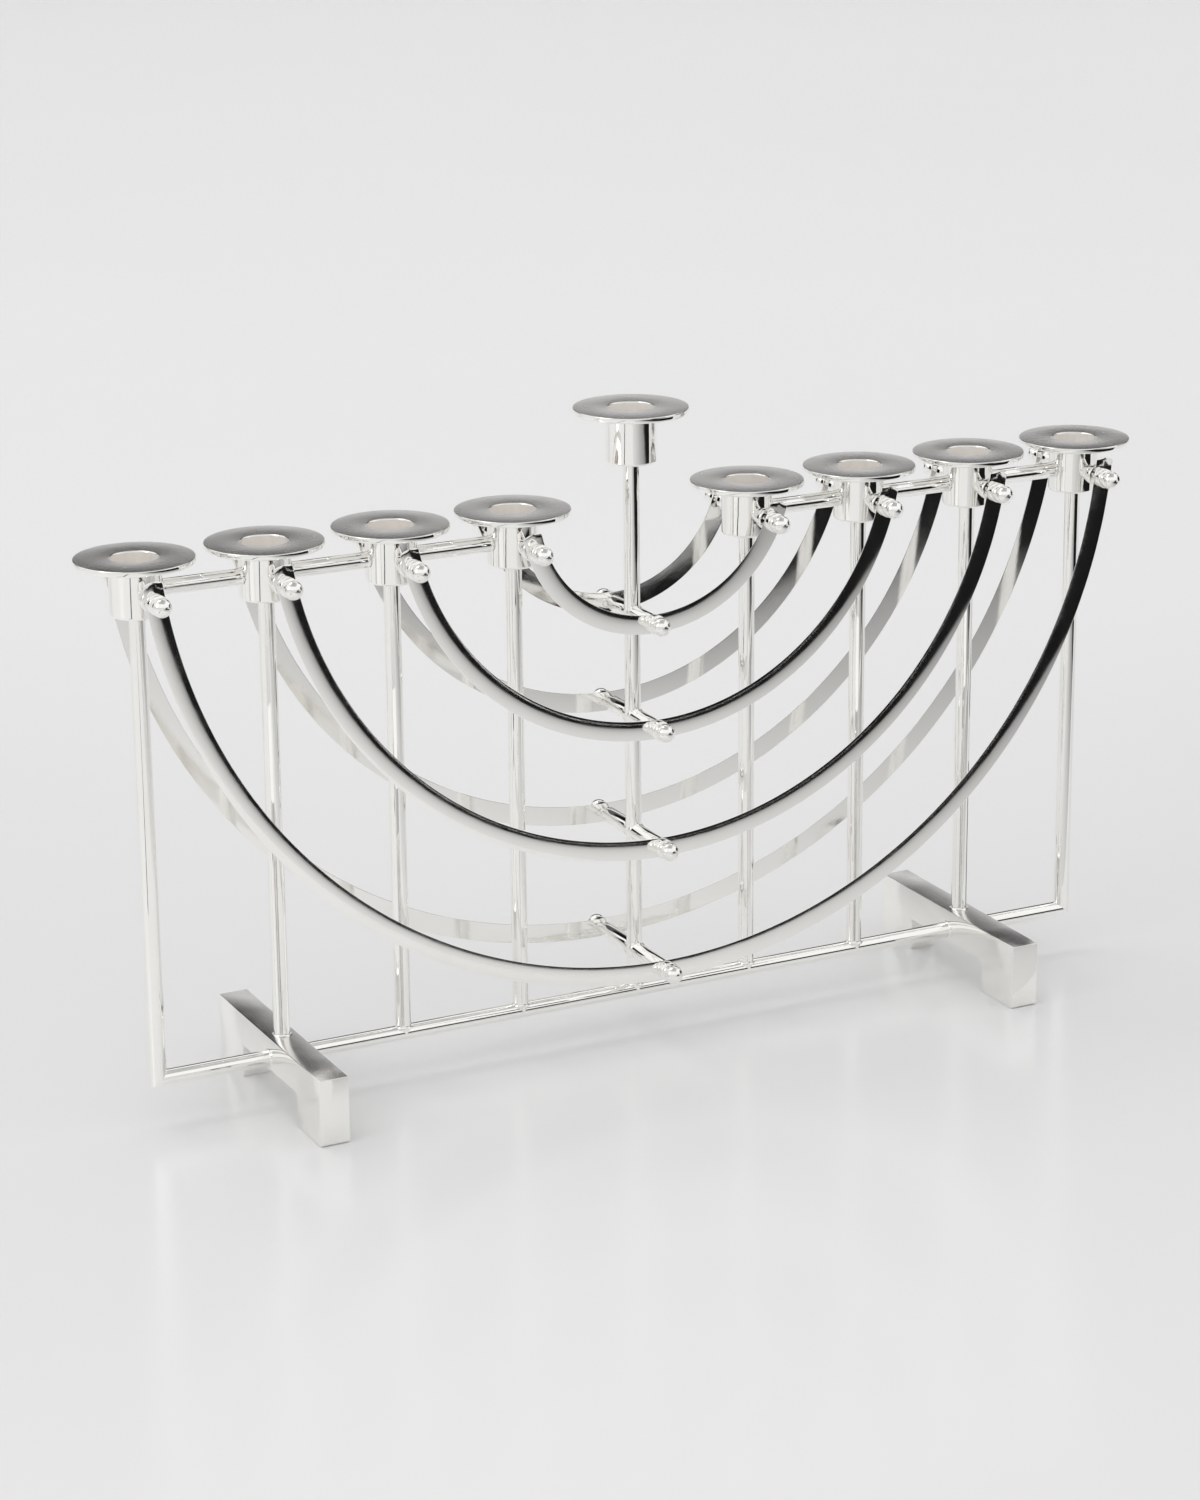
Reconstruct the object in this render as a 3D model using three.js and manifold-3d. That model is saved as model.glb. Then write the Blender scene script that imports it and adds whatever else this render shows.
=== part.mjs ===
// A nine-branched menorah of polished silver: nine candle cups with wide drip pans stand on
// round posts over one base rail, four nested half-hoops run in front of the posts and four
// behind them, and two bridge-shaped feet carry it all.
// Millimetres, +Z up. X runs along the row of cups, -Y is the front, and the origin is on the
// table, midway between the feet.
import * as THREE from 'three';
import { mergeVertices } from 'three/addons/utils/BufferGeometryUtils.js';
import Module from 'manifold-3d';

// ---- candle cups
const PAN_DIAMETER = 30.6;
const PAN_SPACING = 3.9; // free air between two neighbouring pans
const PAN_THICKNESS = 1.5;
const PAN_BEVEL = 0.35;
const CUP_WALL = 0.7; // round the bore
const CUP_HEIGHT = 14.8; // pan included
const CUP_CHAMFER = 0.8; // round the underside
const BORE_DIAMETER = 12;
const BORE_DEPTH = 11;
const BORE_LIP = 0.4; // bevel at the mouth
const SHAMASH_RISE = 23.3; // the ninth cup over the other eight

// ---- rods: posts, rail, links and struts are all cut from one stock
const ROD_DIAMETER = 4.3;
const RAIL_TO_HOOP = 8.8; // from the rail's centre line to the outer edge of the largest hoop

// ---- hoops
const HOOP_WIDTH = 5.8; // radial
const HOOP_EDGE = 2.2; // thickness of the flat inner and outer edges
const HOOP_CROWN = 0.3; // rise of the domed face over those edges
const HOOP_LEANS = [20.8, 15.8, 11.5, 8.6]; // degrees off vertical at the pins, inner to outer
const HOOP_TIP = 5.6; // length past the pin
const PIN_DEPTH = 8.6; // pin centre line below the pan's top
const BOSS_LENGTH = 5.6; // from the cup's wall to the hoop's flat back
const INNER_DRAW = 1.9; // the innermost hoop's lowest point is drawn in from its pins
const STRUT_STEP = 2.05; // each hoop's lowest point stands this much further out than the last

// ---- ball studs
const BALL_DIAMETER = 5;
const COLLAR_DIAMETER = 5.2;
const COLLAR_THICKNESS = 1.5;
const NECK_DIAMETER = 3.4; // groove between the collar and the ball
const PIN_DIAMETER = 2.4;
const PIN_SEAT = 2.4; // how far the pin goes into its boss
const BOSS_ROOT_DIAMETER = 3.4;
const BOSS_FACE_DIAMETER = 5.8;

// ---- feet
const FOOT_LENGTH = 70; // front to back
const FOOT_WIDTH = 8;
const FOOT_LEG = 16; // leg's length along the foot
const FOOT_ARCH = 9.2; // clear height under the bridge
const FOOT_ARCH_RADIUS = 2.5;
const FOOT_UNDER_RAIL = 0.65; // metal between the arch and the rail's hole
const FOOT_OVER_RAIL = 3.45; // metal over the rail's hole
const FOOT_CUP = 3; // the feet stand under the third cups out from the centre

// ---- fit
const GAP = 0.3; // soldering clearance between pieces that meet

// ---- faces round each turned or round piece
const CUP_SIDES = 24;
const ROD_SIDES = 12;
const STUD_SIDES = 8;
const HOOP_STEPS = [24, 28, 32, 32];

// ---- worked out from the above
const PITCH = PAN_DIAMETER + PAN_SPACING;
const SIDE_CUPS = 4; // on each side of the centre
const ROD = ROD_DIAMETER / 2;
const CUP_DIAMETER = BORE_DIAMETER + 2 * CUP_WALL;
const RAIL_HEIGHT = FOOT_ARCH + FOOT_UNDER_RAIL + GAP + ROD; // centre line over the table
const FOOT_HEIGHT = RAIL_HEIGHT + ROD + GAP + FOOT_OVER_RAIL;
const HOOP_BACK = CUP_DIAMETER / 2 + BOSS_LENGTH; // hoop's flat back at the pins, from Y = 0
const HOOP_THICKNESS = HOOP_EDGE + HOOP_CROWN;
const HOOPS = HOOP_LEANS.map(shapeOfHoop);
const LARGEST_DROP = HOOPS[HOOPS.length - 1].drop;
const PIN_HEIGHT = RAIL_HEIGHT + RAIL_TO_HOOP + HOOP_WIDTH / 2 + LARGEST_DROP;
const PAN_TOP = PIN_HEIGHT + PIN_DEPTH;
const CUP_BASE = PAN_TOP - CUP_HEIGHT;
const SHAMASH_TOP = PAN_TOP + SHAMASH_RISE;
const FOOT_X = FOOT_CUP * PITCH;

// A hoop is an arc of a circle through its two pins; the lean at the pins gives its radius.
// Its plane swings out about the pins so that its lowest point stands `reach` from the post.
function shapeOfHoop(leanDegrees, index) {
  const lean = THREE.MathUtils.degToRad(leanDegrees);
  const halfChord = (index + 1) * PITCH;
  const radius = halfChord / Math.cos(lean);
  const slant = radius * (1 - Math.sin(lean));
  const reach = HOOP_BACK - INNER_DRAW + index * STRUT_STEP;
  const swing = Math.asin((reach - HOOP_BACK) / slant);
  return { radius, slant, reach, swing, drop: slant * Math.cos(swing), pinAngle: Math.PI / 2 - lean };
}

const wasm = await Module();
wasm.setup();

function toSolid(geometry) {
  const bare = geometry.clone();
  bare.deleteAttribute('normal');
  bare.deleteAttribute('uv');
  const merged = mergeVertices(bare, 1e-4);
  return new wasm.Manifold(new wasm.Mesh({
    numProp: 3,
    vertProperties: new Float32Array(merged.attributes.position.array),
    triVerts: new Uint32Array(merged.index.array),
  }));
}

function toGeometry(solid) {
  const mesh = solid.getMesh();
  const geometry = new THREE.BufferGeometry();
  geometry.setAttribute('position', new THREE.BufferAttribute(new Float32Array(mesh.vertProperties), 3));
  geometry.setIndex(new THREE.BufferAttribute(new Uint32Array(mesh.triVerts), 1));
  geometry.computeVertexNormals();
  return geometry;
}

const cut = (geometry, ...tools) =>
  toGeometry(tools.reduce((solid, tool) => solid.subtract(toSolid(tool)), toSolid(geometry)));

const join = (geometry, ...others) =>
  toGeometry(others.reduce((solid, other) => solid.add(toSolid(other)), toSolid(geometry)));

// A lathe turning about +Z from [radius, height] pairs listed from the bottom of the axis to
// the top of it.
function turned(profile, sides) {
  const points = profile.map(([radius, height]) => new THREE.Vector2(radius, height));
  return new THREE.LatheGeometry(points, sides).rotateX(Math.PI / 2);
}

// A round bar between two points of a line parallel to X, Y or Z.
function bar(radius, from, to, sides = ROD_SIDES) {
  const start = new THREE.Vector3(...from);
  const axis = new THREE.Vector3(...to).sub(start);
  const geometry = new THREE.CylinderGeometry(radius, radius, axis.length(), sides);
  const turn = new THREE.Quaternion().setFromUnitVectors(new THREE.Vector3(0, 1, 0), axis.clone().normalize());
  const middle = start.addScaledVector(axis, 0.5);
  return geometry.applyQuaternion(turn).translate(middle.x, middle.y, middle.z);
}

// ---- materials
const polished = () => new THREE.MeshStandardMaterial({ color: 0xe9e7e2, roughness: 0.06, metalness: 1 });
const satin = () => new THREE.MeshStandardMaterial({ color: 0xb9b5af, roughness: 0.32, metalness: 1 });

const menorah = new THREE.Group();

function addPiece(name, geometry, material = polished(), position = [0, 0, 0]) {
  const mesh = new THREE.Mesh(geometry, material);
  mesh.name = name;
  mesh.position.set(...position);
  menorah.add(mesh);
}

// ---- candle cups: one turning each, with the pan, the bore and a chamfered underside
function cupGeometry() {
  const cup = CUP_DIAMETER / 2;
  const pan = PAN_DIAMETER / 2;
  const bore = BORE_DIAMETER / 2;
  return turned([
    [0, -CUP_HEIGHT],
    [cup - CUP_CHAMFER, -CUP_HEIGHT],
    [cup, CUP_CHAMFER - CUP_HEIGHT],
    [cup, -PAN_THICKNESS],
    [pan - PAN_BEVEL, -PAN_THICKNESS],
    [pan, PAN_BEVEL - PAN_THICKNESS],
    [pan, -PAN_BEVEL],
    [pan - PAN_BEVEL, 0],
    [bore + BORE_LIP, 0],
    [bore, -BORE_LIP],
    [bore, -BORE_DEPTH],
    [0, -BORE_DEPTH],
  ], CUP_SIDES);
}

// Conical boss on the cup's wall, bored for the stud's pin; front is -Y.
function bossGeometry() {
  const root = (CUP_DIAMETER - CUP_WALL) / 2;
  return turned([
    [0, root],
    [BOSS_ROOT_DIAMETER / 2, root],
    [BOSS_FACE_DIAMETER / 2, HOOP_BACK - GAP],
    [0, HOOP_BACK - GAP],
  ], STUD_SIDES).rotateX(Math.PI / 2).translate(0, 0, -PIN_DEPTH);
}

function bossedCupGeometry() {
  const seat = HOOP_BACK - PIN_SEAT - GAP;
  const holeRadius = PIN_DIAMETER / 2 + GAP;
  const pinHole = (side) =>
    bar(holeRadius, [0, side * seat, -PIN_DEPTH], [0, side * (HOOP_BACK + GAP), -PIN_DEPTH], STUD_SIDES);
  const bosses = [bossGeometry(), bossGeometry().rotateZ(Math.PI)];
  return cut(join(cupGeometry(), ...bosses), pinHole(1), pinHole(-1));
}

// Side cups are numbered 1 to 8 from -X to +X; offsets are in pitches from the centre.
const offsets = [...Array(SIDE_CUPS).keys()].map((index) => index - SIDE_CUPS)
  .concat([...Array(SIDE_CUPS).keys()].map((index) => index + 1));
const sideCups = offsets.map((offset, index) => ({ number: index + 1, x: offset * PITCH, offset }));

for (const { number, x } of sideCups) {
  addPiece(`candle_cup_${number}`, bossedCupGeometry(), satin(), [x, 0, PAN_TOP]);
}
addPiece('shamash_cup', cupGeometry(), satin(), [0, 0, SHAMASH_TOP]);

// ---- base rail: mitred at both ends to the outermost posts, and run through both feet
const END_X = SIDE_CUPS * PITCH;

// Slides the end vertices of a bar so that the end lies in a 45 degree plane.
function mitre(geometry, isEnd, slide) {
  const position = geometry.attributes.position;
  const vertex = new THREE.Vector3();
  for (let index = 0; index < position.count; index += 1) {
    vertex.fromBufferAttribute(position, index);
    if (isEnd(vertex)) {
      slide(vertex);
      position.setXYZ(index, vertex.x, vertex.y, vertex.z);
    }
  }
  return geometry;
}

function railGeometry() {
  const rail = bar(ROD, [-END_X, 0, RAIL_HEIGHT], [END_X, 0, RAIL_HEIGHT]);
  return mitre(rail, () => true, (vertex) => {
    const side = Math.sign(vertex.x);
    vertex.x -= side * (vertex.z - RAIL_HEIGHT);
  });
}

addPiece('base_rail', railGeometry());

// ---- posts
function postGeometry({ x, offset }) {
  const top = CUP_BASE - GAP;
  if (Math.abs(offset) === SIDE_CUPS) {
    const post = bar(ROD, [x, 0, RAIL_HEIGHT], [x, 0, top]);
    const middle = (RAIL_HEIGHT + top) / 2;
    return mitre(post, (vertex) => vertex.z < middle, (vertex) => {
      vertex.z += GAP + Math.sign(x) * (x - vertex.x);
    });
  }
  if (Math.abs(offset) === FOOT_CUP) {
    return bar(ROD, [x, 0, FOOT_HEIGHT + GAP], [x, 0, top]);
  }
  return copedPost(x, top);
}

// Foot of a post shaped to sit astride the rail.
function copedPost(x, top) {
  const post = bar(ROD, [x, 0, RAIL_HEIGHT], [x, 0, top]);
  const saddle = bar(ROD + GAP, [x - PITCH / 2, 0, RAIL_HEIGHT], [x + PITCH / 2, 0, RAIL_HEIGHT]);
  return cut(post, saddle);
}

for (const cup of sideCups) {
  addPiece(`cup_post_${cup.number}`, postGeometry(cup));
}
addPiece('centre_post', copedPost(0, SHAMASH_TOP - CUP_HEIGHT - GAP));

// ---- link bars between neighbouring cups, coped to the cups' walls
function linkGeometry(x) {
  const link = bar(ROD, [x, 0, PIN_HEIGHT], [x + PITCH, 0, PIN_HEIGHT]);
  const cup = (at) => bar(CUP_DIAMETER / 2 + GAP, [at, 0, CUP_BASE], [at, 0, PAN_TOP], CUP_SIDES);
  return cut(link, cup(x), cup(x + PITCH));
}

for (const cup of sideCups) {
  const next = sideCups[cup.number];
  if (next && next.offset - cup.offset === 1) {
    addPiece(`link_bar_${cup.number}_${next.number}`, linkGeometry(cup.x));
  }
}

// ---- feet: bridges that stand across the rail
function footGeometry(x) {
  const half = FOOT_LENGTH / 2;
  const leg = half - FOOT_LEG;
  const arch = FOOT_ARCH - FOOT_ARCH_RADIUS;
  const outline = new THREE.Shape();
  outline.moveTo(-half, 0);
  outline.lineTo(-leg, 0);
  outline.lineTo(-leg, arch);
  outline.absarc(FOOT_ARCH_RADIUS - leg, arch, FOOT_ARCH_RADIUS, Math.PI, Math.PI / 2, true);
  outline.absarc(leg - FOOT_ARCH_RADIUS, arch, FOOT_ARCH_RADIUS, Math.PI / 2, 0, true);
  outline.lineTo(leg, 0);
  outline.lineTo(half, 0);
  outline.lineTo(half, FOOT_HEIGHT);
  outline.lineTo(-half, FOOT_HEIGHT);
  const bridge = new THREE.ExtrudeGeometry(outline, { depth: FOOT_WIDTH, bevelEnabled: false, curveSegments: 4 });
  bridge.rotateX(Math.PI / 2).rotateZ(Math.PI / 2).translate(x - FOOT_WIDTH / 2, 0, 0);
  const railHole = bar(ROD + GAP, [x - FOOT_WIDTH, 0, RAIL_HEIGHT], [x + FOOT_WIDTH, 0, RAIL_HEIGHT]);
  return cut(bridge, railHole);
}

addPiece('foot_left', footGeometry(-FOOT_X));
addPiece('foot_right', footGeometry(FOOT_X));

// ---- hoops: flat back towards the posts, domed face outwards, rounded tips
function hoopSection() {
  const half = HOOP_WIDTH / 2;
  const domeRadius = (half * half + HOOP_CROWN * HOOP_CROWN) / (2 * HOOP_CROWN);
  const spread = Math.asin(half / domeRadius);
  const section = new THREE.Shape();
  section.moveTo(0, half);
  section.lineTo(0, -half);
  section.absarc(HOOP_THICKNESS - domeRadius, 0, domeRadius, -spread, spread, false);
  section.closePath();
  return section;
}

// Arc of the hoop's centre line in its own plane, with the circle's centre at the origin.
class HoopLine extends THREE.Curve {
  constructor(radius, halfAngle) {
    super();
    this.radius = radius;
    this.halfAngle = halfAngle;
  }

  getPoint(t, target = new THREE.Vector3()) {
    const angle = (2 * t - 1) * this.halfAngle;
    return target.set(this.radius * Math.sin(angle), 0, -this.radius * Math.cos(angle));
  }
}

// Draws the corners of both tips back along the hoop, so that each ends in a shallow round.
function roundTips(geometry, radius, halfAngle) {
  const position = geometry.attributes.position;
  for (let index = 0; index < position.count; index += 1) {
    const x = position.getX(index);
    const z = position.getZ(index);
    const angle = Math.atan2(x, -z);
    if (halfAngle - Math.abs(angle) < 1e-3) {
      const across = Math.hypot(x, z) - radius;
      const setBack = HOOP_WIDTH - Math.sqrt(HOOP_WIDTH * HOOP_WIDTH - across * across);
      const tip = Math.sign(angle) * (halfAngle - setBack / radius);
      position.setX(index, (radius + across) * Math.sin(tip));
      position.setZ(index, -(radius + across) * Math.cos(tip));
    }
  }
  return geometry;
}

function hoopGeometry(index) {
  const { radius, slant, reach, swing, drop, pinAngle } = HOOPS[index];
  const halfAngle = pinAngle + HOOP_TIP / radius;
  const hoop = new THREE.ExtrudeGeometry(hoopSection(), {
    steps: HOOP_STEPS[index],
    curveSegments: 3,
    extrudePath: new HoopLine(radius, halfAngle),
  });
  roundTips(hoop, radius, halfAngle);
  hoop.translate(0, 0, radius - slant).rotateX(-swing).translate(0, -HOOP_BACK, PIN_HEIGHT);
  const holeRadius = PIN_DIAMETER / 2 + GAP;
  const hole = (x, back, z) =>
    bar(holeRadius, [x, HOOP_THICKNESS - back, z], [x, -2 * HOOP_THICKNESS - back, z], STUD_SIDES);
  const pinX = (index + 1) * PITCH;
  return cut(
    hoop,
    hole(-pinX, HOOP_BACK, PIN_HEIGHT),
    hole(pinX, HOOP_BACK, PIN_HEIGHT),
    hole(0, reach, PIN_HEIGHT - drop),
  );
}

HOOPS.forEach((hoop, index) => {
  const geometry = hoopGeometry(index);
  addPiece(`front_hoop_${index + 1}`, geometry);
  addPiece(`back_hoop_${index + 1}`, geometry.clone().rotateZ(Math.PI));
});

// ---- ball studs: pin, collar, groove and ball, turned in one; outwards is +Z until placed
function studProfile(pinStart, hoopFace) {
  const ball = BALL_DIAMETER / 2;
  const neck = NECK_DIAMETER / 2;
  const collarBack = hoopFace + GAP;
  const collarFront = collarBack + COLLAR_THICKNESS;
  const ballStart = Math.asin(neck / ball);
  const ballCentre = collarFront + GAP + ball * Math.cos(ballStart);
  const profile = [
    [0, pinStart],
    [PIN_DIAMETER / 2, pinStart],
    [PIN_DIAMETER / 2, collarBack],
    [COLLAR_DIAMETER / 2, collarBack],
    [COLLAR_DIAMETER / 2, collarFront],
    [neck, collarFront + GAP],
  ];
  const ballSteps = 4;
  for (let step = 1; step < ballSteps; step += 1) {
    const angle = ballStart + (Math.PI - ballStart) * (step / ballSteps);
    profile.push([ball * Math.sin(angle), ballCentre - ball * Math.cos(angle)]);
  }
  profile.push([0, ballCentre + ball]);
  return profile;
}

function studGeometry() {
  const pinStart = HOOP_BACK - PIN_SEAT;
  return turned(studProfile(pinStart, HOOP_BACK + HOOP_THICKNESS), STUD_SIDES).rotateX(Math.PI / 2);
}

for (const { number, x } of sideCups) {
  addPiece(`front_stud_${number}`, studGeometry(), polished(), [x, 0, PIN_HEIGHT]);
  addPiece(`back_stud_${number}`, studGeometry().rotateZ(Math.PI), polished(), [x, 0, PIN_HEIGHT]);
}

// ---- struts from the centre post to each hoop's lowest point, ending in the same ball stud
function strutGeometry({ reach, swing }) {
  const shoulder = reach - GAP - (ROD + GAP) * Math.abs(Math.sin(swing));
  const profile = studProfile(shoulder, reach + HOOP_THICKNESS / Math.cos(swing));
  const strut = turned([[0, 0], [ROD, 0], [ROD, shoulder], ...profile.slice(1)], ROD_SIDES);
  const post = bar(ROD + GAP, [0, -PITCH / 4, 0], [0, PITCH / 4, 0]);
  return cut(strut, post).rotateX(Math.PI / 2);
}

HOOPS.forEach((hoop, index) => {
  const height = PIN_HEIGHT - hoop.drop;
  const geometry = strutGeometry(hoop);
  addPiece(`front_strut_${index + 1}`, geometry, polished(), [0, 0, height]);
  addPiece(`back_strut_${index + 1}`, geometry.clone().rotateZ(Math.PI), polished(), [0, 0, height]);
});

export default menorah;
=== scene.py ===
import math

import bmesh
import bpy
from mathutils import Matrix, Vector


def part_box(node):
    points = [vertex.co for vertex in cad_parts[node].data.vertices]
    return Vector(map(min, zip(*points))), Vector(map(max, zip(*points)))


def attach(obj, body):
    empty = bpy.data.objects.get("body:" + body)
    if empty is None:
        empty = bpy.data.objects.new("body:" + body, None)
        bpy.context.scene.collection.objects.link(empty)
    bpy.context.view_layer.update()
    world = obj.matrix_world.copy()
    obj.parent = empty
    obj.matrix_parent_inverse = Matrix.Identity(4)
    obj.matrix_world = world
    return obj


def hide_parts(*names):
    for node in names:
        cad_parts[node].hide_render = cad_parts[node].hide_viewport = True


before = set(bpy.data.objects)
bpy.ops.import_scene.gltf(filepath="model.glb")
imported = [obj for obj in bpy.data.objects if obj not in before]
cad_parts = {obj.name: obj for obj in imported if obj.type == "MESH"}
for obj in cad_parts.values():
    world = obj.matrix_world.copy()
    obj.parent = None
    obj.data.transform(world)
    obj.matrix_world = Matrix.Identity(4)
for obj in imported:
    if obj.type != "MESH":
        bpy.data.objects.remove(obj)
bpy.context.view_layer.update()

# ---------------------------------------------------------------------------------------------
# Candle cups. Each is one turning of silver: a thin drip pan, a straight cup bored for a candle,
# and a conical boss front and back that the hoops' ball studs are soldered into. The pan's top
# is left satin from the lathe, and everything else is buffed bright.

MM = 0.001
PAN_RADIUS = 15.3 * MM
PAN_THICKNESS = 1.5 * MM
CUP_RADIUS = 6.7 * MM
CUP_HEIGHT = 14.8 * MM
BORE_RADIUS = 6.0 * MM
BORE_DEPTH = 11.0 * MM
PIN_DEPTH = 8.6 * MM  # pin's centre line below the pan's top
HOOP_BACK = 12.3 * MM  # from the row's centre plane to the hoops' flat backs at their pins


def rounded(corners, steps=4):
    """Outline through (radius, height, fillet) corners, each fillet drawn as a few short steps."""
    outline = [corners[0][:2]]
    for before, corner, after in zip(corners, corners[1:], corners[2:]):
        at = Vector(corner[:2])
        if corner[2] == 0:
            outline.append(tuple(at))
            continue
        way_in = (Vector(before[:2]) - at).normalized()
        way_out = (Vector(after[:2]) - at).normalized()
        half = way_in.angle(way_out) / 2
        start = at + way_in * (corner[2] / math.tan(half))
        end = at + way_out * (corner[2] / math.tan(half))
        centre = at + (way_in + way_out).normalized() * (corner[2] / math.sin(half))
        for step in range(steps + 1):
            between = start.lerp(end, step / steps) - centre
            outline.append(tuple(centre + between.normalized() * corner[2]))
    outline.append(corners[-1][:2])
    return outline


def turn(name, outline, sides=96):
    """Turns a solid about +Z: a disc is raised and widened step by step along the outline."""
    bpy.ops.object.select_all(action="DESELECT")
    (radius, height), *steps = outline
    bpy.ops.mesh.primitive_circle_add(
        vertices=sides, radius=radius, fill_type="NGON", location=(0, 0, height)
    )
    piece = bpy.context.object
    piece.name = name
    bpy.ops.object.mode_set(mode="EDIT")
    for next_radius, next_height in steps:
        rise = (0, 0, next_height - height)
        scale = next_radius / radius
        bpy.ops.mesh.extrude_region_move(TRANSFORM_OT_translate={"value": rise})
        bpy.ops.transform.resize(value=(scale, scale, 1), center_override=(0, 0, next_height))
        radius, height = next_radius, next_height
    bpy.ops.mesh.select_all(action="SELECT")
    bpy.ops.mesh.remove_doubles(threshold=1e-7)
    bpy.ops.mesh.normals_make_consistent(inside=False)
    bpy.ops.object.mode_set(mode="OBJECT")
    bpy.ops.object.transform_apply(location=True, rotation=True, scale=True)
    return piece


def smooth(piece, degrees=30):
    """Shades a piece smooth, except across edges sharper than the angle."""
    bpy.ops.object.select_all(action="DESELECT")
    piece.select_set(True)
    bpy.context.view_layer.objects.active = piece
    bpy.ops.object.shade_smooth_by_angle(angle=math.radians(degrees))


def place(piece, move=(0, 0, 0), turned=(0, 0, 0)):
    """Turns and moves a piece, and keeps its object at the origin."""
    bpy.ops.object.select_all(action="DESELECT")
    piece.select_set(True)
    bpy.context.view_layer.objects.active = piece
    piece.rotation_euler = turned
    piece.location = move
    bpy.ops.object.transform_apply(location=True, rotation=True, scale=True)
    return piece


def copy_of(piece, name):
    """Another of the same piece, with its own mesh."""
    other = piece.copy()
    other.data = piece.data.copy()
    other.name = name
    bpy.context.collection.objects.link(other)
    return other


def weld(piece, *others):
    """Joins solids into one skin."""
    for other in others:
        union = piece.modifiers.new("weld", "BOOLEAN")
        union.operation = "UNION"
        union.solver = "EXACT"
        union.object = other
        bpy.ops.object.select_all(action="DESELECT")
        piece.select_set(True)
        bpy.context.view_layer.objects.active = piece
        bpy.ops.object.modifier_apply(modifier=union.name)
        bpy.data.objects.remove(other)
    return piece


def silver(name, tone, tint, shine, haze, dent_depth):
    """Buffed silver: tone, shine and a slight waver of the surface drift over the metal."""
    material = bpy.data.materials.new(name)
    material.use_nodes = True
    nodes, links = material.node_tree.nodes, material.node_tree.links
    metal = nodes["Principled BSDF"]
    metal.inputs["Metallic"].default_value = 1.0
    where = nodes.new("ShaderNodeTexCoord").outputs["Object"]

    tarnish = nodes.new("ShaderNodeTexNoise")
    tarnish.inputs["Scale"].default_value = 70.0
    tarnish.inputs["Detail"].default_value = 4.0
    links.new(where, tarnish.inputs["Vector"])
    colour = nodes.new("ShaderNodeMix")
    colour.data_type = "RGBA"
    colour.inputs["A"].default_value = (*tone, 1)
    colour.inputs["B"].default_value = (*tint, 1)
    links.new(tarnish.outputs["Fac"], colour.inputs["Factor"])
    links.new(colour.outputs["Result"], metal.inputs["Base Color"])

    breath = nodes.new("ShaderNodeTexNoise")
    breath.inputs["Scale"].default_value = 160.0
    breath.inputs["Detail"].default_value = 6.0
    links.new(where, breath.inputs["Vector"])
    rough = nodes.new("ShaderNodeMapRange")
    rough.inputs["From Min"].default_value = 0.3
    rough.inputs["From Max"].default_value = 0.7
    rough.inputs["To Min"].default_value = shine
    rough.inputs["To Max"].default_value = haze
    links.new(breath.outputs["Fac"], rough.inputs["Value"])
    links.new(rough.outputs["Result"], metal.inputs["Roughness"])

    waver = nodes.new("ShaderNodeTexNoise")
    waver.inputs["Scale"].default_value = 110.0
    waver.inputs["Detail"].default_value = 2.0
    links.new(where, waver.inputs["Vector"])
    dents = nodes.new("ShaderNodeBump")
    dents.name = "dents"
    dents.inputs["Strength"].default_value = 0.35
    dents.inputs["Distance"].default_value = dent_depth
    links.new(waver.outputs["Fac"], dents.inputs["Height"])
    links.new(dents.outputs["Normal"], metal.inputs["Normal"])
    return material


def scratched(material, where, strength, depth):
    """Adds fine hairlines, drawn by a noise on the given coordinates, over the waver."""
    nodes, links = material.node_tree.nodes, material.node_tree.links
    hairs = nodes.new("ShaderNodeTexNoise")
    hairs.inputs["Scale"].default_value = 1.0
    hairs.inputs["Detail"].default_value = 5.0
    hairs.inputs["Roughness"].default_value = 0.65
    links.new(where, hairs.inputs["Vector"])
    cut = nodes.new("ShaderNodeBump")
    cut.inputs["Strength"].default_value = strength
    cut.inputs["Distance"].default_value = depth
    links.new(hairs.outputs["Fac"], cut.inputs["Height"])
    links.new(nodes["dents"].outputs["Normal"], cut.inputs["Normal"])
    links.new(cut.outputs["Normal"], nodes["Principled BSDF"].inputs["Normal"])
    return material


def stretched(material, scale):
    """Object coordinates scaled unevenly, so that a noise on them runs in lines."""
    nodes, links = material.node_tree.nodes, material.node_tree.links
    stretch = nodes.new("ShaderNodeMapping")
    stretch.inputs["Scale"].default_value = scale
    links.new(nodes["Texture Coordinate"].outputs["Object"], stretch.inputs["Vector"])
    return stretch.outputs["Vector"]


polished_silver = silver("polished_silver", (0.955, 0.95, 0.93), (0.90, 0.89, 0.86), 0.03, 0.07, 0.00010)
scratched(polished_silver, stretched(polished_silver, (3000, 3000, 500)), 0.12, 0.00001)

# Turning marks ring each pan, so they follow the distance from its own centre.
turned_silver = silver("turned_silver", (0.87, 0.855, 0.84), (0.83, 0.81, 0.79), 0.22, 0.28, 0.00002)
turned_nodes = turned_silver.node_tree.nodes
from_centre = turned_nodes.new("ShaderNodeAttribute")
from_centre.attribute_name = "from_centre"
rings = turned_nodes.new("ShaderNodeVectorMath")
rings.operation = "SCALE"
rings.inputs["Scale"].default_value = 4500.0
turned_silver.node_tree.links.new(from_centre.outputs["Vector"], rings.inputs[0])
scratched(turned_silver, rings.outputs["Vector"], 0.3, 0.00003)

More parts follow.
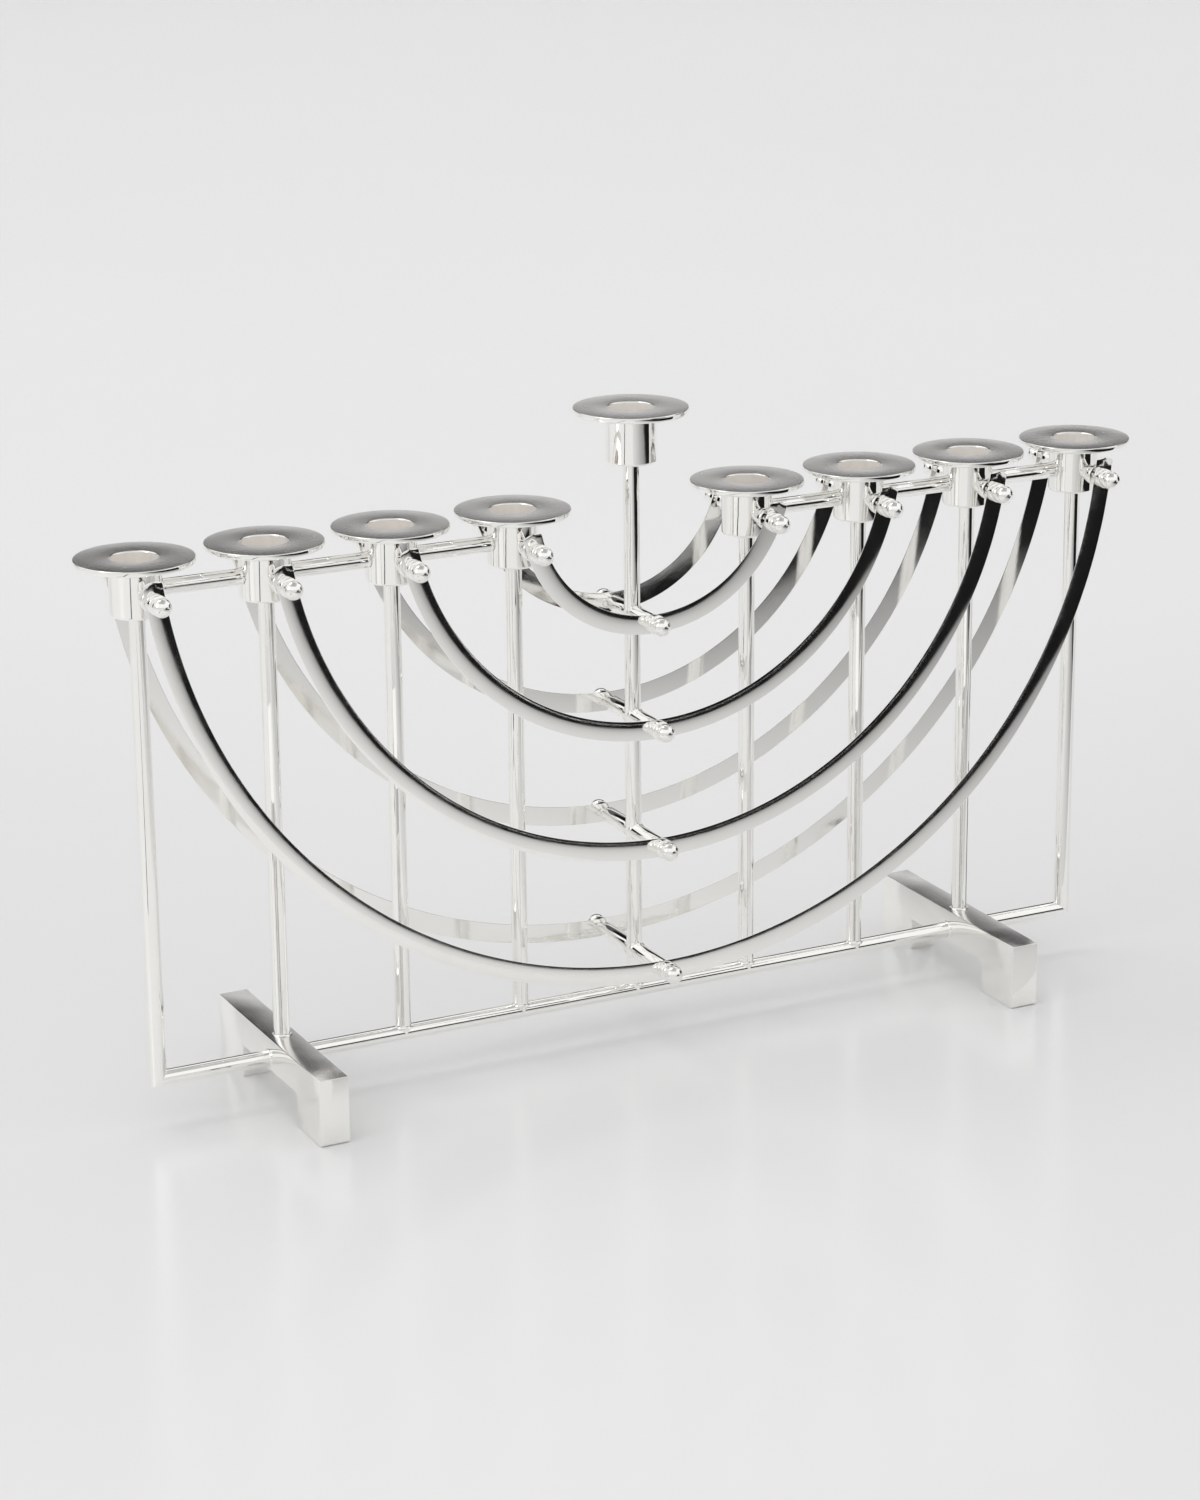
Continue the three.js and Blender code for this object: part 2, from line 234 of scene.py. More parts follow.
CUP_OUTLINE = rounded(
    [
        (5.0 * MM, -CUP_HEIGHT, 0),
        (CUP_RADIUS, -CUP_HEIGHT, 0.7 * MM),
        (CUP_RADIUS, -PAN_THICKNESS, 0.3 * MM),
        (PAN_RADIUS, -PAN_THICKNESS, 0.5 * MM),
        (PAN_RADIUS, 0, 0.22 * MM),
        (BORE_RADIUS, 0, 0.35 * MM),
        (BORE_RADIUS, -BORE_DEPTH, 0.8 * MM),
        (0.3 * MM, -BORE_DEPTH, 0),
    ]
)
BOSS_OUTLINE = rounded(
    [
        (1.2 * MM, 5.9 * MM, 0),
        (1.9 * MM, CUP_RADIUS, 0.4 * MM),
        (2.75 * MM, 10.2 * MM, 1.2 * MM),
        (2.9 * MM, 12.0 * MM, 0.5 * MM),
        (1.0 * MM, HOOP_BACK - 0.05 * MM, 0),
    ]
)


bored_silver = silver("bored_silver", (0.95, 0.925, 0.89), (0.91, 0.88, 0.85), 0.13, 0.20, 0.00006)
bored_silver.node_tree.nodes["Principled BSDF"].inputs["Metallic"].default_value = 0.55
scratched(bored_silver, stretched(bored_silver, (900, 900, 6000)), 0.3, 0.00002)


def two_finishes(piece, height, top_finish):
    """Gives the level faces at this height their own finish, and makes the rest bright."""
    piece.data.materials.append(polished_silver)
    piece.data.materials.append(top_finish)
    for face in piece.data.polygons:
        if face.normal.z > 0.99 and abs(face.center.z - height) < 0.05 * MM:
            face.material_index = 1


plain_cup = turn("plain_cup", CUP_OUTLINE)
bossed_cup = copy_of(plain_cup, "bossed_cup")
front_boss = place(turn("front_boss", BOSS_OUTLINE, 48), (0, 0, -PIN_DEPTH), (math.pi / 2, 0, 0))
back_boss = place(turn("back_boss", BOSS_OUTLINE, 48), (0, 0, -PIN_DEPTH), (-math.pi / 2, 0, 0))
weld(bossed_cup, front_boss, back_boss)

for cup_name in [f"candle_cup_{n}" for n in range(1, 9)] + ["shamash_cup"]:
    low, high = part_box(cup_name)
    raised = cup_name == "shamash_cup"
    cup = copy_of(plain_cup if raised else bossed_cup, cup_name + "_turned")
    two_finishes(cup, 0, turned_silver)
    cup.data.materials.append(bored_silver)
    for face in cup.data.polygons:
        from_axis = math.hypot(face.center.x, face.center.y)
        if from_axis < BORE_RADIUS + 0.05 * MM and -BORE_DEPTH - 0.1 * MM < face.center.z < -0.5 * MM:
            face.material_index = 2
    marks = cup.data.attributes.new("from_centre", "FLOAT_VECTOR", "POINT")
    for vertex, mark in zip(cup.data.vertices, marks.data):
        mark.vector = (math.hypot(vertex.co.x, vertex.co.y), 0, 0)
    smooth(cup)
    place(cup, ((low.x + high.x) / 2, 0, high.z))
    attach(cup, "root")
    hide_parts(cup_name)
bpy.data.objects.remove(plain_cup)
bpy.data.objects.remove(bossed_cup)

# ---------------------------------------------------------------------------------------------
# Base rail. A length of drawn round silver rod that runs through both feet and is mitred at
# its ends to the outermost posts, so that rail and end posts frame the whole row.

ROD_RADIUS = 2.15 * MM


def rod(name, length, radius=ROD_RADIUS, sides=64):
    """A round rod standing on the origin, its end edges eased."""
    ease = 0.12 * MM
    return turn(
        name,
        [
            (radius - ease, 0),
            (radius, ease),
            (radius, length - ease),
            (radius - ease, length),
        ],
        sides,
    )


def cut_off(piece, point, outwards):
    """Saws a piece along a plane, keeps what lies behind it, and closes the cut."""
    bpy.ops.object.select_all(action="DESELECT")
    piece.select_set(True)
    bpy.context.view_layer.objects.active = piece
    bpy.ops.object.mode_set(mode="EDIT")
    bpy.ops.mesh.select_all(action="SELECT")
    bpy.ops.mesh.bisect(
        plane_co=point, plane_no=outwards, use_fill=True, clear_outer=True, threshold=1e-7
    )
    bpy.ops.mesh.select_all(action="SELECT")
    bpy.ops.mesh.normals_make_consistent(inside=False)
    bpy.ops.object.mode_set(mode="OBJECT")
    return piece


rail_low, rail_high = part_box("base_rail")
RAIL_HEIGHT = (rail_low.z + rail_high.z) / 2
END_X = rail_high.x - ROD_RADIUS

rail = rod("base_rail_rod", 2 * END_X + 20 * MM)
place(rail, (-END_X - 10 * MM, 0, RAIL_HEIGHT), (0, math.pi / 2, 0))
cut_off(rail, (-END_X, 0, RAIL_HEIGHT), (-1, 0, -1))
cut_off(rail, (END_X, 0, RAIL_HEIGHT), (1, 0, -1))
rail.data.materials.append(polished_silver)
smooth(rail)
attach(rail, "root")
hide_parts("base_rail")

# ---------------------------------------------------------------------------------------------
# Cup posts. Round rods under the cups: the outer two are mitred into the rail, the next two
# stand on the feet, and the rest sit astride the rail. Silver solder leaves a small fillet
# round each foot and head.


def solder(name, radius, flare, rise):
    """A ring of solder drawn up round a rod by capillary action."""
    outline = [(radius - 0.3 * MM, -0.25 * MM), (radius + flare, -0.25 * MM)]
    for step in range(7):
        turn_angle = step / 6 * math.pi / 2
        outline.append(
            (
                radius + flare * (1 - math.sin(turn_angle)) + 0.01 * MM,
                rise * (1 - math.cos(turn_angle)),
            )
        )
    outline.append((radius - 0.3 * MM, rise + 0.01 * MM))
    return turn(name, outline, 64)


for number in range(1, 9):
    post_name = f"cup_post_{number}"
    low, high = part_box(post_name)
    x = (low.x + high.x) / 2
    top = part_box(f"candle_cup_{number}")[0].z + 0.3 * MM
    if number in (1, 8):
        side = math.copysign(1, x)
        post = rod(post_name + "_rod", top - RAIL_HEIGHT + 10 * MM)
        place(post, (x, 0, RAIL_HEIGHT - 10 * MM))
        cut_off(post, (x, 0, RAIL_HEIGHT), (-side, 0, -1))
    elif number in (2, 7):
        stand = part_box("foot_left")[1].z
        post = rod(post_name + "_rod", top - stand + 0.5 * MM)
        place(post, (x, 0, stand - 0.5 * MM))
        weld(post, place(solder("foot_solder", ROD_RADIUS, 0.55 * MM, 0.6 * MM), (x, 0, stand)))
    else:
        post = rod(post_name + "_rod", top - RAIL_HEIGHT)
        place(post, (x, 0, RAIL_HEIGHT))
        bead = solder("rail_solder", ROD_RADIUS, 0.4 * MM, 0.8 * MM)
        weld(post, place(bead, (x, 0, RAIL_HEIGHT + 1.75 * MM)))
    neck = solder("cup_solder", ROD_RADIUS, 0.4 * MM, 0.45 * MM)
    weld(post, place(neck, (x, 0, top - 0.3 * MM), (math.pi, 0, 0)))
    post.data.materials.append(polished_silver)
    smooth(post)
    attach(post, "root")
    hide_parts(post_name)

# ---------------------------------------------------------------------------------------------
# Centre post. The tallest rod, from the rail to the raised cup, of the same stock as the
# others. The struts that brace the hoops are soldered to it on both sides.

low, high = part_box("centre_post")
centre_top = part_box("shamash_cup")[0].z + 0.3 * MM
centre_post = rod("centre_post_rod", centre_top - RAIL_HEIGHT)
place(centre_post, (0, 0, RAIL_HEIGHT))
weld(
    centre_post,
    place(solder("centre_foot", ROD_RADIUS, 0.4 * MM, 0.8 * MM), (0, 0, RAIL_HEIGHT + 1.75 * MM)),
    place(
        solder("centre_neck", ROD_RADIUS, 0.4 * MM, 0.45 * MM),
        (0, 0, centre_top - 0.3 * MM),
        (math.pi, 0, 0),
    ),
)
centre_post.data.materials.append(polished_silver)
smooth(centre_post)
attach(centre_post, "root")
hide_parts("centre_post")

# ---------------------------------------------------------------------------------------------
# Link bars. Short rods of the same stock that tie neighbouring cups together just under the
# pans, filed hollow at both ends to fit the cups and soldered there.

for first in (1, 2, 3, 5, 6, 7):
    link_name = f"link_bar_{first}_{first + 1}"
    low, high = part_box(link_name)
    reach = 0.7 * MM
    link = rod(link_name + "_rod", high.x - low.x + 2 * reach)
    place(link, (low.x - reach, 0, (low.z + high.z) / 2), (0, math.pi / 2, 0))
    for end, way in ((low.x, math.pi / 2), (high.x, -math.pi / 2)):
        ring = solder("link_solder", ROD_RADIUS, 0.18 * MM, 0.5 * MM)
        away = math.copysign(0.15 * MM, way)
        weld(link, place(ring, (end + away, 0, (low.z + high.z) / 2), (0, way, 0)))
    link.data.materials.append(polished_silver)
    smooth(link)
    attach(link, "root")
    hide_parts(link_name)

# ---------------------------------------------------------------------------------------------
# Feet. Two bridges sawn and filed from flat silver bar, with a straight top, a low arch and
# square legs. The rail runs through a hole in each, with a bright ring of solder round it.

FOOT_ARCH = 9.2 * MM
FOOT_LEG = 16.0 * MM

filed_silver = silver("filed_silver", (0.89, 0.875, 0.855), (0.84, 0.82, 0.80), 0.20, 0.27, 0.00002)
scratched(filed_silver, stretched(filed_silver, (4500, 120, 4500)), 0.3, 0.00003)


def pick_faces(piece, wanted):
    """Selects, in edit mode, only the faces for which wanted(face) is true."""
    mesh = bmesh.from_edit_mesh(piece.data)
    mesh.faces.ensure_lookup_table()
    for face in mesh.faces:
        face.select_set(False)
    for edge in mesh.edges:
        edge.select_set(False)
    for vertex in mesh.verts:
        vertex.select_set(False)
    for face in mesh.faces:
        if wanted(face):
            face.select_set(True)
    bmesh.update_edit_mesh(piece.data)


def pick_edges(piece, wanted):
    """Selects, in edit mode, only the edges for which wanted(edge) is true."""
    pick_faces(piece, lambda face: False)
    mesh = bmesh.from_edit_mesh(piece.data)
    for edge in mesh.edges:
        if wanted(edge):
            edge.select_set(True)
    bmesh.update_edit_mesh(piece.data)


for foot_name in ("foot_left", "foot_right"):
    low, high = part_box(foot_name)
    x = (low.x + high.x) / 2
    bpy.ops.object.select_all(action="DESELECT")
    bpy.ops.mesh.primitive_cube_add(size=1, location=(x, 0, (FOOT_ARCH + high.z) / 2))
    foot = bpy.context.object
    foot.name = foot_name + "_bridge"
    foot.scale = (high.x - low.x, high.y - low.y, high.z - FOOT_ARCH)
    bpy.ops.object.transform_apply(location=True, rotation=True, scale=True)
    bpy.ops.object.mode_set(mode="EDIT")
    for inner in (low.y + FOOT_LEG, high.y - FOOT_LEG):
        bpy.ops.mesh.select_all(action="SELECT")
        bpy.ops.mesh.bisect(plane_co=(0, inner, 0), plane_no=(0, 1, 0))
    arch_end = high.y - FOOT_LEG
    pick_faces(
        foot, lambda f: f.normal.z < -0.9 and abs(f.calc_center_median().y) > arch_end
    )
    bpy.ops.mesh.extrude_region_move(TRANSFORM_OT_translate={"value": (0, 0, -FOOT_ARCH)})
    pick_edges(
        foot,
        lambda e: all(
            abs(v.co.z - FOOT_ARCH) < 1e-5 and abs(abs(v.co.y) - arch_end) < 1e-5 for v in e.verts
        ),
    )
    bpy.ops.mesh.bevel(offset=2.5 * MM, offset_type="OFFSET", segments=8, affect="EDGES")
    pick_edges(
        foot,
        lambda e: all(v.co.z < 1e-5 and abs(abs(v.co.y) - high.y) < 1e-5 for v in e.verts),
    )
    bpy.ops.mesh.bevel(offset=0.8 * MM, offset_type="OFFSET", segments=4, affect="EDGES")
    bpy.ops.mesh.select_all(action="SELECT")
    bpy.ops.mesh.normals_make_consistent(inside=False)
    bpy.ops.object.mode_set(mode="OBJECT")
    easing = foot.modifiers.new("eased_edges", "BEVEL")
    easing.width = 0.3 * MM
    easing.segments = 3
    easing.limit_method = "ANGLE"
    easing.angle_limit = math.radians(40)
    bpy.ops.object.modifier_apply(modifier=easing.name)
    drill = place(
        rod("rail_drill", 12 * MM, ROD_RADIUS + 0.1 * MM), (x - 6 * MM, 0, RAIL_HEIGHT), (0, math.pi / 2, 0)
    )
    hole = foot.modifiers.new("rail_hole", "BOOLEAN")
    hole.operation = "DIFFERENCE"
    hole.solver = "EXACT"
    hole.object = drill
    bpy.ops.object.select_all(action="DESELECT")
    foot.select_set(True)
    bpy.context.view_layer.objects.active = foot
    bpy.ops.object.modifier_apply(modifier=hole.name)
    bpy.data.objects.remove(drill)
    two_finishes(foot, high.z, filed_silver)
    smooth(foot)
    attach(foot, "root")
    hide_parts(foot_name)
    for face_x, way in ((low.x, -math.pi / 2), (high.x, math.pi / 2)):
        ring = solder(foot_name + "_solder", ROD_RADIUS, 0.5 * MM, 0.5 * MM)
        ring.name = f"{foot_name}_solder_{'outer' if face_x * x > x * x else 'inner'}"
        place(ring, (face_x, 0, RAIL_HEIGHT), (0, way, 0))
        ring.data.materials.append(polished_silver)
        smooth(ring)
        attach(ring, "root")

# ---------------------------------------------------------------------------------------------
# Half-hoops. Half-round silver wire bent to an arc, its flat back towards the posts, its face
# gently domed and its tips filed round. Four hang in front of the posts and four behind; each
# leans out a little so that the larger ones clear the smaller.

HOOP_WIDTH = 5.8 * MM
HOOP_EDGE = 2.2 * MM
HOOP_CROWN = 0.3 * MM
FACE_ROUND = 0.5 * MM
BACK_ROUND = 0.2 * MM
HOOP_TIP = 5.6 * MM  # along the arc, past the pin
HOOP_SHOULDER = HOOP_WIDTH * (1 - math.sqrt(0.75))  # the filed round at each tip
INNER_DRAW = 1.9 * MM
STRUT_STEP = 2.05 * MM
DOME_RADIUS = ((HOOP_WIDTH / 2) ** 2 + HOOP_CROWN**2) / (2 * HOOP_CROWN)

brushed_silver = silver("brushed_silver", (0.95, 0.94, 0.92), (0.89, 0.88, 0.85), 0.05, 0.10, 0.00006)
brushed_nodes = brushed_silver.node_tree.nodes
round_the_arc = brushed_nodes.new("ShaderNodeAttribute")
round_the_arc.attribute_name = "round_the_arc"
strokes = brushed_nodes.new("ShaderNodeVectorMath")
strokes.operation = "MULTIPLY"
strokes.inputs[1].default_value = (4000, 150, 4000)
brushed_silver.node_tree.links.new(round_the_arc.outputs["Vector"], strokes.inputs[0])
scratched(brushed_silver, strokes.outputs["Vector"], 0.25, 0.00002)

pin_height = sum(corner.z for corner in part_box("front_stud_1")) / 2
hoop_shapes = {}
for number in range(1, 5):
    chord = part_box(f"front_stud_{4 + number}")
    half_chord = (chord[0].x + chord[1].x) / 2
    lowest = sum(corner.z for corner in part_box(f"front_strut_{number}")) / 2
    drop = pin_height - lowest
    draw = -INNER_DRAW + (number - 1) * STRUT_STEP
    slant = math.hypot(drop, draw)
    radius = (half_chord**2 + slant**2) / (2 * slant)
    hoop_shapes[number] = {
        "radius": radius,
        "slant": slant,
        "lean": math.atan2(draw, drop),
        "sweep": math.asin(half_chord / radius) + (HOOP_TIP - HOOP_SHOULDER) / radius,
        "reach": HOOP_BACK + draw,
        "lowest": lowest,
    }


def hoop_half(radius, sweep, steps):
    """Half of a hoop in the XZ plane about the origin, from its tip at +X down to its middle."""
    bpy.ops.object.select_all(action="DESELECT")
    bpy.ops.mesh.primitive_circle_add(
        vertices=60, radius=DOME_RADIUS, fill_type="NGON", location=(radius, 0, 0)
    )
    half = bpy.context.object
    bpy.ops.object.transform_apply(location=True)
    bpy.ops.object.mode_set(mode="EDIT")
    spring = HOOP_CROWN - DOME_RADIUS
    bpy.ops.mesh.bisect(plane_co=(0, spring, 0), plane_no=(0, 1, 0), clear_outer=True)
    pick_edges(half, lambda e: all(abs(v.co.y - spring) < 1e-6 for v in e.verts))
    bpy.ops.mesh.extrude_region_move(TRANSFORM_OT_translate={"value": (0, HOOP_EDGE, 0)})
    bpy.ops.mesh.select_all(action="SELECT")
    bpy.ops.transform.translate(value=(0, -spring - HOOP_EDGE, 0))
    pick_edges(half, lambda e: all(abs(v.co.y + HOOP_EDGE) < 1e-6 for v in e.verts))
    bpy.ops.mesh.dissolve_edges(use_verts=False)
    # Filed corners: full ones on the face, slight ones on the back.
    for corner_y, corner_round, cuts in ((-HOOP_EDGE, FACE_ROUND, 6), (0, BACK_ROUND, 3)):
        section = bmesh.from_edit_mesh(half.data)
        bpy.ops.mesh.select_mode(type="VERT")
        bpy.ops.mesh.select_all(action="DESELECT")
        for vertex in section.verts:
            at_side = abs(abs(vertex.co.x - radius) - HOOP_WIDTH / 2) < 0.05 * MM
            vertex.select = at_side and abs(vertex.co.y - corner_y) < 0.02 * MM
        section.select_flush_mode()
        bpy.ops.mesh.bevel(offset=corner_round, segments=cuts, affect="VERTICES")
    bpy.ops.mesh.select_all(action="SELECT")
    bpy.ops.mesh.spin(steps=steps, angle=-sweep, center=(0, 0, 0), axis=(0, 1, 0))
    bpy.ops.mesh.delete(type="FACE")
    pick_faces(half, lambda f: abs(f.normal.z) > 0.99 and abs(f.calc_center_median().z) < 1e-5)
    width, height = HOOP_WIDTH, 0
    for share in (0.25, 0.47, 0.65, 0.79, 0.89, 0.96):
        next_height = HOOP_SHOULDER * share
        side = HOOP_WIDTH - HOOP_SHOULDER + next_height
        next_width = 2 * math.sqrt(HOOP_WIDTH**2 - side**2)
        rise = (0, 0, next_height - height)
        bpy.ops.mesh.extrude_region_move(TRANSFORM_OT_translate={"value": rise})
        bpy.ops.transform.resize(
            value=(next_width / width, 1, 1), center_override=(radius, 0, next_height)
        )
        width, height = next_width, next_height
    bpy.ops.object.mode_set(mode="OBJECT")
    return half


for number, shape in hoop_shapes.items():
    half = hoop_half(shape["radius"], shape["sweep"], 40 + 16 * number)
    place(half, turned=(0, math.pi / 2 - shape["sweep"], 0))
    for side, way in (("front", 0), ("back", math.pi)):
        hoop = copy_of(half, f"{side}_hoop_{number}_wire")
        bpy.ops.object.select_all(action="DESELECT")
        hoop.select_set(True)
        bpy.context.view_layer.objects.active = hoop
        mirror = hoop.modifiers.new("other_half", "MIRROR")
        mirror.use_axis = (True, False, False)
        mirror.merge_threshold = 0.02 * MM
        bpy.ops.object.modifier_apply(modifier=mirror.name)
        bpy.ops.object.mode_set(mode="EDIT")
        bpy.ops.mesh.select_all(action="SELECT")
        bpy.ops.mesh.remove_doubles(threshold=1e-6)
        bpy.ops.mesh.normals_make_consistent(inside=False)
        bpy.ops.object.mode_set(mode="OBJECT")
        marks = hoop.data.attributes.new("round_the_arc", "FLOAT_VECTOR", "POINT")
        for vertex, mark in zip(hoop.data.vertices, marks.data):
            across, out, up = vertex.co
            arc = math.atan2(across, -up) * shape["radius"]
            mark.vector = (math.hypot(across, up), arc, out)
        place(hoop, (0, 0, shape["radius"] - shape["slant"]))
        place(hoop, (0, -HOOP_BACK, pin_height), (-shape["lean"], 0, 0))
        place(hoop, turned=(0, 0, way))
        hoop.data.materials.append(brushed_silver)
        smooth(hoop, 35)
        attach(hoop, "root")
        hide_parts(f"{side}_hoop_{number}")
    bpy.data.objects.remove(half)

# ---------------------------------------------------------------------------------------------
# Ball studs. Turned silver: a pin through the hoop into the cup's boss, a collar against the
# hoop's face, a V groove and a ball.

BALL_RADIUS = 2.5 * MM
COLLAR_RADIUS = 2.6 * MM
COLLAR_THICKNESS = 1.5 * MM
NECK_RADIUS = 1.7 * MM
PIN_RADIUS = 1.2 * MM


def stud_outline(start, face):
    """Outline from the pin's inner end to the ball's pole, for a hoop whose face is at `face`."""
    front = face + 0.3 * MM + COLLAR_THICKNESS
    outline = rounded(
        [
            (PIN_RADIUS - 0.1 * MM, start, 0),
            (PIN_RADIUS, start + 0.1 * MM, 0),
            (PIN_RADIUS, face - 0.1 * MM, 0),
            (COLLAR_RADIUS, face - 0.1 * MM, 0.3 * MM),
            (COLLAR_RADIUS, front, 0.35 * MM),
            (NECK_RADIUS, front + 0.25 * MM, 0),
        ]
    )
    begin = math.asin(NECK_RADIUS / BALL_RADIUS)
    centre = front + 0.3 * MM + BALL_RADIUS * math.cos(begin)
    for step in range(25):
        angle = begin + (math.pi - begin) * step / 24
        outline.append(
            (
                max(BALL_RADIUS * math.sin(angle), 0.03 * MM),
                centre - BALL_RADIUS * math.cos(angle),
            )
        )
    return outline


stud = turn("stud", stud_outline(HOOP_BACK - 2.4 * MM, HOOP_BACK + HOOP_EDGE + HOOP_CROWN), 64)
stud.data.materials.append(polished_silver)
smooth(stud)
for number in range(1, 9):
    for side, way in (("front", math.pi / 2), ("back", -math.pi / 2)):
        low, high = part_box(f"{side}_stud_{number}")
        one = copy_of(stud, f"{side}_stud_{number}_ball")
        place(one, ((low.x + high.x) / 2, 0, pin_height), (way, 0, 0))
        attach(one, "root")
        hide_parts(f"{side}_stud_{number}")
bpy.data.objects.remove(stud)

# ---------------------------------------------------------------------------------------------
# Struts. Short arms of the rod stock that stand out from the centre post, front and back, to
# each hoop's lowest point, and end beyond it in the same collar and ball as the studs.

for number, shape in hoop_shapes.items():
    shoulder = shape["reach"]
    face = shape["reach"] + (HOOP_EDGE + HOOP_CROWN) / math.cos(shape["lean"])
    ending = stud_outline(shoulder, face)
    outline = [(ROD_RADIUS - 0.1 * MM, 0.5 * MM), (ROD_RADIUS, 0.6 * MM), (ROD_RADIUS, shoulder)]
    strut = turn(f"strut_{number}", outline + ending[2:], 64)
    ring = solder("strut_solder", ROD_RADIUS, 0.35 * MM, 0.7 * MM)
    weld(strut, place(ring, (0, 0, 1.75 * MM)))
    strut.data.materials.append(polished_silver)
    smooth(strut)
    for side, way in (("front", math.pi / 2), ("back", -math.pi / 2)):
        arm = copy_of(strut, f"{side}_strut_{number}_arm")
        place(arm, (0, 0, shape["lowest"]), (way, 0, 0))
        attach(arm, "root")
        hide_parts(f"{side}_strut_{number}")
    bpy.data.objects.remove(strut)

# ---------------------------------------------------------------------------------------------
# Camera. It stands to the left of the middle, a little over a metre off, and looks down.

YAW, PITCH, ROLL = math.radians(26.399), math.radians(17.472), math.radians(-0.559)
DISTANCE = 1.02333
AIM = Vector((-0.009896, 0, 0.082055))

view = Vector((math.sin(YAW) * math.cos(PITCH), math.cos(YAW) * math.cos(PITCH), -math.sin(PITCH)))
camera = bpy.data.objects.new("camera", bpy.data.cameras.new("camera"))
bpy.context.collection.objects.link(camera)
camera.data.lens = 92.06
camera.data.sensor_width = 36
camera.location = AIM - view * DISTANCE
camera.rotation_euler = (math.pi / 2 - PITCH, 0, -YAW)
camera.rotation_euler.rotate_axis("Z", ROLL)
bpy.context.scene.camera = camera
bpy.context.scene.view_settings.view_transform = "Standard"

# ---------------------------------------------------------------------------------------------
# Floor and backdrop. One sheet of pale matt board that lies under the piece and sweeps up
# all round it, with just enough gloss to mirror the feet faintly.

FLAT, SWEEP, BOARD = 2.6, 1.2, 0.004


def bowl(angle_step, lift):
    """A point on the sheet's rising edge."""
    angle = angle_step * math.pi / 24
    return (FLAT + SWEEP * math.sin(angle), SWEEP * (1 - math.cos(angle)) + lift)


sheet = turn(
    "board_sheet",
    [(0.02, -BOARD), (FLAT, -BOARD)]
    + [bowl(n, -BOARD) for n in range(1, 13)]
    + [bowl(n, 0) for n in range(12, 0, -1)]
    + [(FLAT, 0.0), (0.02, 0.0)],
    128,
)
board = bpy.data.materials.new("pale_board")
board.use_nodes = True
board_nodes, board_links = board.node_tree.nodes, board.node_tree.links
surface = board_nodes["Principled BSDF"]
surface.inputs["Specular IOR Level"].default_value = 0.25
board_where = board_nodes.new("ShaderNodeTexCoord").outputs["Object"]
for scale, socket, low_value, high_value in (
    (2.5, "Base Color", (0.79, 0.79, 0.79, 1), (0.815, 0.815, 0.815, 1)),
    (400.0, "Roughness", 0.16, 0.24),
):
    mottle = board_nodes.new("ShaderNodeTexNoise")
    mottle.inputs["Scale"].default_value = scale
    board_links.new(board_where, mottle.inputs["Vector"])
    blend = board_nodes.new("ShaderNodeMix")
    blend.data_type = "RGBA" if socket == "Base Color" else "FLOAT"
    blend.inputs["A"].default_value = low_value
    blend.inputs["B"].default_value = high_value
    board_links.new(mottle.outputs["Fac"], blend.inputs["Factor"])
    board_links.new(blend.outputs["Result"], surface.inputs[socket])
sheet.data.materials.append(board)
smooth(sheet)

# ---------------------------------------------------------------------------------------------
# Light. An even pale surround, a soft box overhead and another on the left.

world = bpy.data.worlds.new("soft_studio")
bpy.context.scene.world = world
world.use_nodes = True
world.node_tree.nodes["Background"].inputs["Color"].default_value = (1.0, 1.0, 1.0, 1)
world.node_tree.nodes["Background"].inputs["Strength"].default_value = 1.0


def soft_box(name, position, size, power):
    """A soft box at a position, facing the piece."""
    lamp = bpy.data.lights.new(name, "AREA")
    lamp.shape = "RECTANGLE"
    lamp.size, lamp.size_y = size
    lamp.energy = power
    holder = bpy.data.objects.new(name, lamp)
    bpy.context.collection.objects.link(holder)
    holder.location = position
    holder.rotation_euler = (Vector((0, 0, 0.1)) - Vector(position)).to_track_quat("-Z", "Y").to_euler()


soft_box("top_box", (-0.5, 0.9, 2.1), (0.7, 0.7), 3.5)
soft_box("left_box", (-1.9, -0.2, 1.1), (0.6, 0.8), 3.5)

# ---------------------------------------------------------------------------------------------
# Cards round the set, which only the silver mirrors: a dark one on the floor at the right and one standing
# at its front end, a slim dark strip at the left, and a grey one at the back. No lamp lights them; they
# glow with set tones, so what the silver mirrors of them is painted reflection: near-black bands, and
# painted light and shade.

right = Vector((math.cos(YAW), -math.sin(YAW), 0))
ahead = Vector((math.sin(YAW), math.cos(YAW), 0))


def studio_card(name, centre, size, tilt, facing, material):
    """A card centred at (right, ahead, up) of the piece; tilt 0 lies flat, 90 stands up."""
    bpy.ops.object.select_all(action="DESELECT")
    bpy.ops.mesh.primitive_plane_add(size=1)
    piece = bpy.context.object
    piece.name = name
    piece.scale = (*size, 1)
    bpy.ops.object.transform_apply(location=False, rotation=False, scale=True)
    spot = right * centre[0] + ahead * centre[1] + Vector((0, 0, centre[2]))
    place(piece, spot, (math.radians(tilt), 0, math.radians(facing) - YAW))
    piece.data.materials.append(material)
    piece.visible_camera = False
    piece.visible_diffuse = False
    piece.visible_shadow = False
    piece.visible_transmission = False
    return piece


